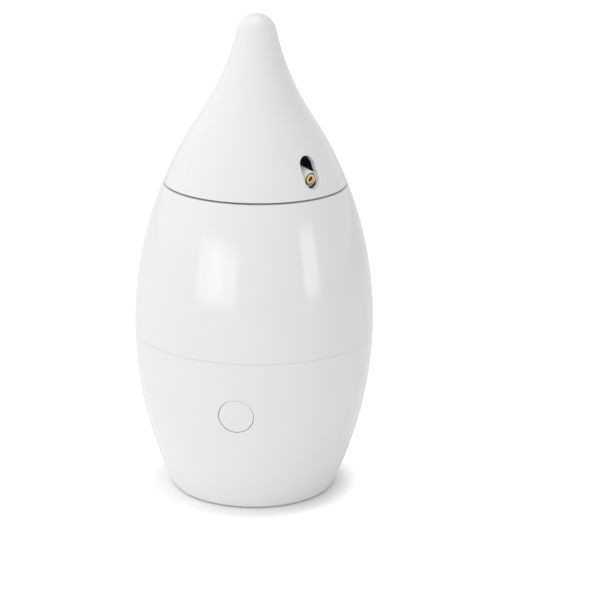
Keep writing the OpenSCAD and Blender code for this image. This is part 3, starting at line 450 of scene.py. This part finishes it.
# Ground steel: grey and bright, with grinding lines round each shaft.
ground_steel, tree, place = start_material("ground steel")
drawn = add_node(tree, "ShaderNodeMapping", {"Vector": place, "Scale": (0.08, 0.08, 1)})
lines = add_node(tree, "ShaderNodeTexNoise", {"Vector": drawn, "Scale": 1 / 0.0005, "Detail": 3.0})
gloss = add_node(tree, "ShaderNodeMapRange", {"Value": lines, "To Min": 0.14, "To Max": 0.32})
finish_material(tree, {"Base Color": srgb("#aeb1b5"), "Metallic": 1.0, "Roughness": gloss})
coat_nodes(ground_steel, "gear_axles", "spin_motor_shaft", "tilt_motor_shaft", "pivot_pins")

# Zinc-plated steel: pale bluish grey with the soft cloudy patches of the plating bath.
zinc, tree, place = start_material("zinc-plated steel")
clouds = add_node(tree, "ShaderNodeTexNoise", {"Vector": place, "Scale": 1 / 0.003, "Detail": 4.0})
tint = add_node(tree, "ShaderNodeMix", {0: clouds, 6: srgb("#a4a8ad"), 7: srgb("#ced1d4")},
                data_type="RGBA")
gloss = add_node(tree, "ShaderNodeMapRange", {"Value": clouds, "To Min": 0.24, "To Max": 0.44})
finish_material(tree, {"Base Color": tint, "Metallic": 1.0, "Roughness": gloss})
coat_nodes(zinc, "motor_strap", "spindle_clip")


# ---------------------------------------------------------------- gears, rod and spindle
# A brass pinion drives three moulded acetal gears down to the spindle. The tilt pinion moves the
# rod, whose grooved collar tilts the laser cradles. All keep their CAD shapes, with involute teeth.

# Natural acetal: milky white and waxy, a little translucent, with faint flow marks.
acetal, tree, place = start_material("moulded acetal, natural")
flow = add_node(tree, "ShaderNodeTexNoise", {"Vector": place, "Scale": 1 / 0.006, "Detail": 2.0,
                                             "Distortion": 0.6})
tint = add_node(tree, "ShaderNodeMix", {0: flow, 6: srgb("#e6e2d3"), 7: srgb("#f2efe4")},
                data_type="RGBA")
gloss = add_node(tree, "ShaderNodeMapRange", {"Value": flow, "To Min": 0.28, "To Max": 0.4})
finish_material(tree, {"Base Color": tint, "IOR": 1.48, "Roughness": gloss,
                       "Subsurface Weight": 0.15, "Subsurface Scale": 0.001})
coat_nodes(acetal, "tilt_rod", "first_gear", "second_gear", "spindle_gear", "tilt_pinion",
           "spindle", "switch_plunger")

# Turned brass: yellow and bright, with fine tool lines 0.1 mm apart that run round the part.
turned_brass, tree, place = start_material("turned brass")
level = add_node(tree, "ShaderNodeMapping", {"Vector": place, "Scale": (1, 1, 0)})
out = add_node(tree, "ShaderNodeVectorMath", {0: level}, operation="LENGTH")
lines = add_node(tree, "ShaderNodeTexNoise", {"W": out, "Scale": 1 / 0.0001, "Detail": 1.0},
                 noise_dimensions="1D")
relief = add_node(tree, "ShaderNodeBump", {"Height": lines, "Strength": 0.3, "Distance": 0.000008})
gloss = add_node(tree, "ShaderNodeMapRange", {"Value": lines, "To Min": 0.14, "To Max": 0.3})
finish_material(tree, {"Base Color": srgb("#d8bd84"), "Metallic": 1.0, "Roughness": gloss,
                       "Normal": relief})
coat_nodes(turned_brass, "motor_pinion")


# ---------------------------------------------------------------- screws
# Thread-forming screws of zinc-plated steel, with pan heads and cross recesses, hold every
# moulding. Each shank carries a rolled thread that cuts its own way into a moulded boss.

def combine(bm, tool, operation):
    """Cuts a closed tool out of a shape, or joins the two, and frees the tool."""
    shapes = []
    for shape in (bm, tool):
        mesh = bpy.data.meshes.new("working")
        shape.to_mesh(mesh)
        shapes.append(bpy.data.objects.new("working", mesh))
        bpy.context.scene.collection.objects.link(shapes[-1])
    work = shapes[0].modifiers.new("joint", "BOOLEAN")
    work.object, work.operation, work.solver = shapes[1], operation, "EXACT"
    bm.clear()
    bm.from_object(shapes[0], bpy.context.evaluated_depsgraph_get())
    tool.free()
    for shape in shapes:
        bpy.data.objects.remove(shape)


def make_screws(name, body, radius, head_radius, head_height, length, places):
    """Screws that stand with their heads up before they are placed, in millimetres. The node that
    they replace has the same name."""
    core, pitch, recess = radius * 0.8, radius * 0.74, 0.62
    one = bmesh.new()
    draw(one, (0, -length), (core * 0.35, -length), (core, -length + pitch * 1.4), (core, -0.35),
         (core + 0.3, -0.05), (core + 0.35, 0), (head_radius - 0.12, 0), (head_radius, 0.12),
         (head_radius, head_height * 0.45), (head_radius * 0.86, head_height * 0.8),
         (head_radius * 0.62, head_height * 0.95), (head_radius * 0.3, head_height),
         (0, head_height))
    turn(one, 24)
    cross = bmesh.new()
    for size in ((head_radius * 1.1, recess), (recess, head_radius * 1.1)):
        arm = bmesh.ops.create_cube(cross, size=1)["verts"]
        bmesh.ops.scale(cross, vec=(*size, head_height), verts=arm)
        bmesh.ops.translate(cross, vec=(0, 0, head_height * 0.95), verts=arm)
        foot = [v for v in arm if v.co.z < head_height]
        bmesh.ops.scale(cross, vec=(0.55, 0.55, 1), verts=foot)
    combine(one, cross, "DIFFERENCE")
    ridge = [bmesh.ops.create_vert(one, co=(out, 0, -length + pitch * rise))["vert"][0]
             for out, rise in ((core - 0.05, 1.5), (radius, 1.75), (core - 0.05, 2))]
    ring = [one.edges.new((ridge[i], ridge[i - 1])) for i in range(3)]
    turns = int((length - pitch * 2.6) / pitch)
    bmesh.ops.spin(one, geom=ridge + ring, cent=(0, 0, 0), axis=(0, 0, 1),
                   dvec=(0, 0, pitch / 16), angle=math.tau * turns, steps=16 * turns)
    bmesh.ops.holes_fill(one, edges=[e for e in one.edges if e.is_boundary], sides=3)
    bmesh.ops.recalc_face_normals(one, faces=one.faces)
    bm = bmesh.new()
    add_copies(bm, one, places)
    finish_piece(bm, name + "_threaded", body, "steel", [zinc], name)


# The head is drawn turned by this angle, as the toy stands in the picture.
head_turn = -40.5
frame_screw_angles, frame_screw_ring = (-35, 115, 180, 250), 36.6
head_screw_angles, head_screw_ring = [a + head_turn for a in (60, 120, 240, 300)], 30
strap_middle = put(spin_motor_x, spin_motor_y, 129.6, ("Z", 184.0889), ("X", 180))
make_screws("case_screws", "base", 1.4, 2.6, 2, 24,
            [around(a, 30, 62, ("X", 180)) for a in (35, 145, 215, 325)])
make_screws("frame_screws", "base", 1.1, 2, 1.2, 18.4,
            [around(a, frame_screw_ring, 130.8, ("X", 180)) for a in frame_screw_angles])
make_screws("chassis_screws", "base", 1.1, 2, 1.2, 5.2,
            [put(x, -36, z, ("X", 90)) for x in (-11, 11) for z in (34, 60)]
            + [around(a, 25.2, 6.8) for a in (60, 120, 240, 300)])
make_screws("strap_screws", "base", 1.1, 2, 1.2, 3.1,
            [strap_middle @ put(side * 15, 0, 0) for side in (-1, 1)])
make_screws("head_screws", "head", 1.1, 2, 0.9, 9,
            [around(a, head_screw_ring, 151.7, ("X", 180)) for a in head_screw_angles])
make_screws("flange_screws", "head", 1.1, 2, 1.2, 3.6,
            [around(a + head_turn, 11.6, 155.9) for a in (90, 210, 330)])
make_screws("door_screw", "battery_door", 1.4, 2.6, 1.3, 11, [put(0, 0, 2, ("X", 180))])


# ---------------------------------------------------------------- wires
# Stranded copper wires in PVC run from the cells, the motors and the brushes to the back of the
# board. They are pushed into even bends by hand and soldered at both ends.

def lay_wire(bm, radius, points):
    """A round wire along straight runs, with a bend of 1.1 mm between each two."""
    bend, points = 1.1, [Vector(point) for point in points]
    way = (points[1] - points[0]).normalized()
    square_on = Matrix.Translation(points[0]) @ way.to_track_quat("Z", "Y").to_matrix().to_4x4()
    bmesh.ops.create_circle(bm, segments=12, radius=radius, cap_ends=True, matrix=square_on)
    bm.faces.ensure_lookup_table()
    tip, start = [bm.faces[-1]], points[0]
    for i in range(1, len(points)):
        last = i == len(points) - 1
        onward = way if last else (points[i + 1] - points[i]).normalized()
        reach = bend * math.tan(way.angle(onward) / 2)
        end = points[i] - way * reach
        drawn = bmesh.ops.extrude_face_region(bm, geom=tip, use_keep_orig=i == 1)
        tip = only(bmesh.types.BMFace, drawn["geom"])
        bmesh.ops.translate(bm, vec=end - start, verts=tip[0].verts)
        if not last:
            inward = (onward - way * way.dot(onward)).normalized()
            drawn = bmesh.ops.spin(bm, geom=tip, cent=end + inward * bend, axis=way.cross(onward),
                                   angle=way.angle(onward), steps=5)
            tip = only(bmesh.types.BMFace, drawn["geom_last"])
            start, way = points[i] + onward * reach, onward


for name, slot, radius, colour, routes in (
        ("battery_leads", "red_wire", 0.55, "#b3262b", [
            [(s * 9.18, -5.3, 56.7), (s * 9.18, -5.3, 63.8), (s * 3.6, -5.3, 63.8),
             (s * 3.6, -31, 63.8), (s * 3.6, -31, 61.5), (s * 3.6, board_back, 61.5)]
            for s in (-1, 1)]),
        ("motor_leads", "blue_wire", 0.55, "#2d4fa3", [
            [(-5.75, board_back, 50), (-5.75, -29.8, 50), (-5.75, -29.8, 85),
             (-5.75, 27.33, 85), (4.0035, 27.33, 85), (4.0035, 27.33, 103.3)],
            [(-7.05, board_back, 50), (-7.05, -29.8, 50), (-7.05, -29.8, 83),
             (-7.05, 24, 83), (-7.9965, 28.53, 83), (-7.9965, 28.53, 103.3)],
            [(5, board_back, 46), (5, -32.6, 46), (5, -32.6, 113.7)],
            [(6.9, board_back, 42), (6.9, -32.6, 42), (6.9, -32.6, 80), (13, -32.6, 80),
             (13, -32.6, 113.7)]]),
        ("brush_leads", "black_wire", 0.5, "#2b2d30", [
            [(x, board_back, 56), (x, -31, 56), (x, -31, 147.8), (x, -27.6, 147.8)]
            for x in (-1.6, 0, 1.6)])):
    # Extruded PVC: soft and glossy, with a slight 2 mm waver of its gloss.
    pvc, tree, place = start_material("extruded PVC, " + name.replace("_", " "))
    waver = add_node(tree, "ShaderNodeTexNoise", {"Vector": place, "Scale": 1 / 0.002,
                                                  "Detail": 2.0})
    relief = add_node(tree, "ShaderNodeBump", {"Height": waver, "Strength": 0.2,
                                               "Distance": 0.00002})
    gloss = add_node(tree, "ShaderNodeMapRange", {"Value": waver, "To Min": 0.3, "To Max": 0.42})
    finish_material(tree, {"Base Color": srgb(colour), "IOR": 1.53, "Roughness": gloss,
                           "Normal": relief})
    bm = bmesh.new()
    for route in routes:
        lay_wire(bm, radius, route)
    bmesh.ops.recalc_face_normals(bm, faces=bm.faces)
    finish_piece(bm, name + "_insulated", "base", slot, [pvc], name)


# ---------------------------------------------------------------- body shell
# The upper two thirds of the fixed case: one white moulding that bulges out of the cup and draws
# in to the turning seam. Its roof is a ring, and four blind holes under it take the frame screws.

# The side of the case is two wide arcs that meet at the belly, 81 mm up, both inside and outside.
upper_arc, lower_arc = (-124.75, 81), (-132.75, 81)
bm = bmesh.new()
draw(bm, (33, 147), (33, 149.7), (33.3, 149.7, -90, 4), (43.5625, 150),
     (43.5625, 149.85, -67.7525, 4), (*upper_arc, -22.2475, 56), (*lower_arc, -0.784, 2),
     (55.032, 78.4), (*lower_arc, 0.7932, 2), (*upper_arc, 21.5355, 54), (33, 147))
turn(bm, 256)
holes, hole = bmesh.new(), bmesh.new()
draw(hole, (0, 146), (1.1, 146), (1.1, 149.2), (0, 149.4))
turn(hole, 20)
add_copies(holes, hole, [around(a, frame_screw_ring, 0) for a in frame_screw_angles])
combine(bm, holes, "DIFFERENCE")
finish_piece(bm, "body_shell_moulding", "base", "white_case", [white_abs], "body_shell")


# ---------------------------------------------------------------- slip ring and turntable
# A ring board under the turntable carries three copper tracks. Spring fingers in a nylon block on
# the roof press up on them, so that power reaches the lasers while the head turns.

coat_nodes(grey_abs, "turntable")

# Rolled copper and phosphor bronze: warm pink-brown, brightened in rings where the fingers rub.
copper, tree, place = start_material("rolled copper, rubbed bright")
level = add_node(tree, "ShaderNodeMapping", {"Vector": place, "Scale": (1, 1, 0)})
out = add_node(tree, "ShaderNodeVectorMath", {0: level}, operation="LENGTH")
rubbed = add_node(tree, "ShaderNodeTexNoise", {"W": out, "Scale": 1 / 0.0004, "Detail": 2.0},
                  noise_dimensions="1D")
tint = add_node(tree, "ShaderNodeMix", {0: rubbed, 6: srgb("#a3653f"), 7: srgb("#dc9c6c")},
                data_type="RGBA")
gloss = add_node(tree, "ShaderNodeMapRange", {"Value": rubbed, "To Min": 0.42, "To Max": 0.2})
finish_material(tree, {"Base Color": tint, "Metallic": 1.0, "Roughness": gloss})
coat_nodes(copper, "slip_ring_tracks", "brush_fingers")


# ---------------------------------------------------------------- lasers
# Two opposite laser modules look out of slots in the head. Each is a turned brass barrel with a
# small board behind it and a moulded lens in front, and tilts in a white cradle on a steel pin.

# Moulded acrylic, tinted red: deep and glassy, with a dark inner edge.
red_acrylic, tree, place = start_material("moulded acrylic, deep red")
melt = add_node(tree, "ShaderNodeTexNoise", {"Vector": place, "Scale": 1 / 0.0015, "Detail": 1.0})
tint = add_node(tree, "ShaderNodeMix", {0: melt, 6: srgb("#6e0d0f"), 7: srgb("#941517")},
                data_type="RGBA")
finish_material(tree, {"Base Color": tint, "IOR": 1.49, "Roughness": 0.05,
                       "Transmission Weight": 0.3})

# Painted shade on the brass in the step behind the face: dull olive brown, with 0.5 mm stains.
painted_shade_brass, tree, place = start_material("brass with painted shade")
stain = add_node(tree, "ShaderNodeTexNoise", {"Vector": place, "Scale": 1 / 0.0005, "Detail": 2.0})
tint = add_node(tree, "ShaderNodeMix", {0: stain, 6: srgb("#25220f"), 7: srgb("#4a4522")},
                data_type="RGBA")
finish_material(tree, {"Base Color": tint, "IOR": 1.5, "Roughness": 0.4})

# Each barrel is drawn along its own axis from the pivot, then laid to look 10 degrees down.
pivot_ring, pivot_height, droop = 20, 161.962, 10
laser_angles = head_turn, head_turn + 180
for side, angle in zip(("front", "rear"), laser_angles):
    aim = (Matrix.Rotation(math.radians(angle), 4, "Z")
           @ put(pivot_ring, 0, pivot_height, ("Y", 90 + droop)))
    bm = bmesh.new()
    draw(bm, (0, 8.285), (2.8, 8.285), (3, 8.485), (3, 10.4), (2.85, 10.55), (2.85, 11.15),
         (3, 11.3), (3, 17.685), (2.8, 17.885), (2.55, 17.885), (2.55, 18.585), (2.4, 18.785),
         (1.35, 18.785), (1.1, 18.55), (1.1, 16.785), (0, 16.785))
    turn(bm, 48)
    for face in bm.faces:
        where = face.calc_center_median()
        # The step behind the face takes the painted shade.
        painted_shade_step = 17.6 < where.z < 18.5 and math.hypot(where.x, where.y) > 2.4
        face.material_index = 1 if painted_shade_step else 0
    bmesh.ops.transform(bm, matrix=aim, verts=bm.verts)
    finish_piece(bm, f"laser_barrel_{side}_turned", side + "_laser", "brass",
                 [turned_brass, painted_shade_brass], f"laser_barrel_{side}")
    bm = bmesh.new()
    draw(bm, (0, 16.785), (1.09, 16.785), (1.09, 17.8), (0.95, 17.98), (0.7, 18.12), (0.4, 18.24),
         (0, 18.285))
    turn(bm, 32)
    bmesh.ops.transform(bm, matrix=aim, verts=bm.verts)
    finish_piece(bm, f"laser_lens_{side}_moulded", side + "_laser", "lens", [red_acrylic],
                 f"laser_lens_{side}")


# ---------------------------------------------------------------- head shell
# The turning head: one white moulding that narrows through a waist to a round tip, with a slot for
# each laser. Four hollow bosses inside it stand on the turntable.

def surface_at(side, height, arc, radius):
    """How far out the case stands at a height, to one side of the line that faces it."""
    out = math.sqrt(radius ** 2 - (height - arc[1]) ** 2) + arc[0]
    return math.sqrt(out ** 2 - side ** 2)


# The outline runs down the inside, round the lower edge and back up the outside.
tip_arc, waist_arc, upper_radius = (0, 220.7), (129.2255, 250.4241), 182
bm = bmesh.new()
draw(bm, (0, 227.4), (*tip_arc, -77.046, 20), (*waist_arc, 20.753, 24), (*upper_arc, -10.81, 18),
     (40.514, 150.8), (43.1083, 150.8), (43.1083, 150.95, 112.6225, 6),
     (*upper_arc, 11.0845, 24), (*waist_arc, -20.753, 36), (*tip_arc, 77.046, 30), (0, 230))
turn(bm, 256)

# The bosses run up into the wall and end 1.3 mm under its outer face, which their finer tops
# follow.
boss_top, boss_end_radius = 175.98, upper_radius - 1.3
bosses, boss, holes, hole = bmesh.new(), bmesh.new(), bmesh.new(), bmesh.new()
draw(boss, (0, 154.1), (1.2, 154.1), (3.3, 154.1), (3.4, 154.2), (3.4, boss_top), (0, boss_top))
turn(boss, 32)
bmesh.ops.subdivide_edges(boss, cuts=1, edges=[
    e for e in boss.edges if all(abs(v.co.z - boss_top) < 1e-3 for v in e.verts)])
draw(hole, (0, 153.1), (1.1, 153.1), (1.1, 162.9), (0, 163.1))
turn(hole, 20)
boss_places = [around(a, head_screw_ring, 0) for a in head_screw_angles]
add_copies(bosses, boss, boss_places)
add_copies(holes, hole, boss_places)
for v in bosses.verts:
    out = math.hypot(v.co.x, v.co.y) - upper_arc[0]
    v.co.z = min(v.co.z, upper_arc[1] + math.sqrt(boss_end_radius ** 2 - out ** 2))
combine(bm, bosses, "UNION")

# A slot is a round cutter with a flared mouth, pulled apart in height and bent on to the case.
slot_middle, slot_straight = 161.75, 2.75
slot = bmesh.new()
draw(slot, (0, -6), (4.5, -6), (4.5, -0.34), (4.85, -0.34, -90, 6), (4.85, 3), (0, 3))
turn(slot, 64)
bmesh.ops.transform(slot, matrix=Matrix.Rotation(math.pi / 64, 4, "Z"), verts=slot.verts)
for v in slot.verts:
    apart = math.copysign(slot_straight, v.co.y) if abs(v.co.y) > 1e-4 else 0
    y, z = v.co.x, slot_middle + v.co.y + apart
    v.co = surface_at(y, z, upper_arc, upper_radius) + v.co.z, y, z
bmesh.ops.recalc_face_normals(slot, faces=slot.faces)
add_copies(holes, slot, [Matrix.Rotation(math.radians(a), 4, "Z") for a in laser_angles])
combine(bm, holes, "DIFFERENCE")
finish_piece(bm, "head_shell_moulding", "head", "white_case", [white_abs], "head_shell")


# ---------------------------------------------------------------- button
# One white cap, 16 mm wide, that follows the curve of the case. A collar behind the wall keeps it
# in, and its post presses the plunger of the switch.

# The face is drawn flat, 60 mm from the toy's axis, then bent to stand 0.12 mm under the case.
face_out, button_height, lower_radius, sunk = 60, 52, 190, 0.12
bm = bmesh.new()
draw(bm, (0, 44.4), (2, 44.4), (2.2, 44.6), (2.2, 51), (6.7, 51), (6.7, 44.4), (9.2, 44.4),
     (9.32, 44.52), (9.32, 45.6), (8.1, 45.6), (8.1, 59.72), (7.82, 59.72, 90, 5),
     *((x, face_out) for x in (7.1, 6, 4.8, 3.6, 2.4, 1.2, 0)))
turn(bm, 64)
bmesh.ops.transform(bm, matrix=put(0, 0, button_height, ("X", 90)), verts=bm.verts)
for v in bm.verts:
    if v.co.y < 2 - face_out:
        v.co.y += face_out - surface_at(v.co.x, v.co.z, lower_arc, lower_radius - sunk)
finish_piece(bm, "button_cap_moulding", "button", "white_case", [white_abs], "button_cap")


# ---------------------------------------------------------------- floor, light and camera
# A plain pale table top in an even studio. Two tall soft boxes make the highlights on the front of
# the case, and wide dim lamps beside, behind and above the toy fill in.

bpy.ops.mesh.primitive_plane_add(size=8)
floor = bpy.context.object
floor.name = "studio_floor"

# For the camera the table grows lighter from the edge of the foot to 59 mm out, where it is plain
# white. Nearer the foot the tone is lower: a painted shadow that deepens the real one round the
# foot. Its middle sits 4 mm towards the left and the front, so the painted shadow is darker there.
# A reflection shows the table white as well, and the light that it throws back has its own colour.
pale, tree, place = start_material("pale matt table top with painted shadow")
path = add_node(tree, "ShaderNodeLightPath")
mirrored = add_node(tree, "ShaderNodeMath", {0: path.outputs["Is Glossy Ray"],
                                             1: path.outputs["Is Transmission Ray"]},
                    operation="MAXIMUM")
centred = add_node(tree, "ShaderNodeMapping", {"Vector": place, "Location": (0.004, 0.004, 0)})
out = add_node(tree, "ShaderNodeVectorMath", {0: centred}, operation="LENGTH")
# Painted shadow: the tone is lower near the foot and plain white from 59 mm out.
white_and_painted_shadow = add_node(tree, "ShaderNodeMapRange", {"Value": out, "From Min": 0.0415, "From Max": 0.059,
                                              "To Min": 1.15, "To Max": 1.75},
                 interpolation_type="SMOOTHSTEP")
tone = add_node(tree, "ShaderNodeMix", {0: mirrored, 6: srgb("#fcfcfc"), 7: (1.15, 1.15, 1.15, 1)},
                data_type="RGBA")
tone = add_node(tree, "ShaderNodeMix", {0: path.outputs["Is Camera Ray"], 6: tone, 7: white_and_painted_shadow},
                data_type="RGBA")
matt = add_node(tree, "ShaderNodeBsdfDiffuse", {"Color": tone})
add_node(tree, "ShaderNodeOutputMaterial", {"Surface": matt})
floor.data.materials.append(pale)

# The room is plain white where it is seen or mirrored. The light that it gives is softer, and
# grows dimmer towards the upper right.
world = bpy.data.worlds.new("even studio")
bpy.context.scene.world = world
world.use_nodes = True
tree = world.node_tree
tree.nodes.clear()
path = add_node(tree, "ShaderNodeLightPath")
seen = add_node(tree, "ShaderNodeMath", {0: path.outputs["Is Camera Ray"],
                                         1: path.outputs["Is Glossy Ray"]}, operation="MAXIMUM")
seen = add_node(tree, "ShaderNodeMath", {0: seen, 1: path.outputs["Is Transmission Ray"]},
                operation="MAXIMUM")
facing = add_node(tree, "ShaderNodeTexCoord").outputs["Generated"]
towards = add_node(tree, "ShaderNodeVectorMath", {0: facing, 1: (0.863, 0.075, 0.5)},
                   operation="DOT_PRODUCT")
dimmer = add_node(tree, "ShaderNodeMapRange", {"Value": towards, "From Min": -1.0, "From Max": 1.0,
                                               "To Min": 0.78, "To Max": 0.41})
room = add_node(tree, "ShaderNodeBackground", {"Color": srgb("#ffffff"), "Strength": dimmer})
white = add_node(tree, "ShaderNodeBackground", {"Color": srgb("#ffffff"), "Strength": 1.0})
both = add_node(tree, "ShaderNodeMixShader", {0: seen, 1: room, 2: white})
add_node(tree, "ShaderNodeOutputWorld", {"Surface": both})


def soft_box(name, azimuth, height, distance, size, tall, radiance):
    """A rectangular lamp that faces the middle of the toy, with its sizes in metres. Its azimuth
    is in degrees from +X, and its power follows from its radiance and its size."""
    data = bpy.data.lights.new(name, "AREA")
    data.shape = "RECTANGLE"
    data.size, data.size_y, data.energy = size, tall, radiance * math.pi * size * tall
    lamp = bpy.data.objects.new(name, data)
    bpy.context.scene.collection.objects.link(lamp)
    angle = math.radians(azimuth)
    lamp.location = distance * math.cos(angle), distance * math.sin(angle), height
    faced = Vector((0, 0, 0.11)) - lamp.location
    lamp.rotation_euler = faced.to_track_quat("-Z", "Y").to_euler()


soft_box("left soft box", -120, 0.3, 1.4, 0.3, 0.5, 0.8)
soft_box("right soft box", -24, 0.3, 1.4, 0.4, 0.5, 2.4)
soft_box("side fill", -160, 1.3, 2.2, 1.8, 1.8, 0.23)
soft_box("low front fill", -119, 0.33, 2.0, 1.5, 0.66, 1.8)
soft_box("overhead soft box", 195, 2.2, 0.3, 1.8, 1.8, 1.38)
soft_box("back fill", 150, 1.2, 2.2, 1.4, 1.4, 0.2)

# A long lens about a metre away looks a little down on the toy.
data = bpy.data.cameras.new("photograph")
data.lens, data.sensor_width, data.sensor_fit = 127.689, 36, "HORIZONTAL"
data.clip_end = 20
camera = bpy.data.objects.new("photograph", data)
bpy.context.scene.collection.objects.link(camera)
camera.matrix_world = Matrix(((0.99143, -0.05282, 0.11948, 0.14364),
                              (0.12980, 0.29509, -0.94662, -0.96342),
                              (0.01474, 0.95401, 0.29941, 0.39742),
                              (0, 0, 0, 1)))
bpy.context.scene.camera = camera

bpy.context.scene.view_settings.view_transform = "Standard"
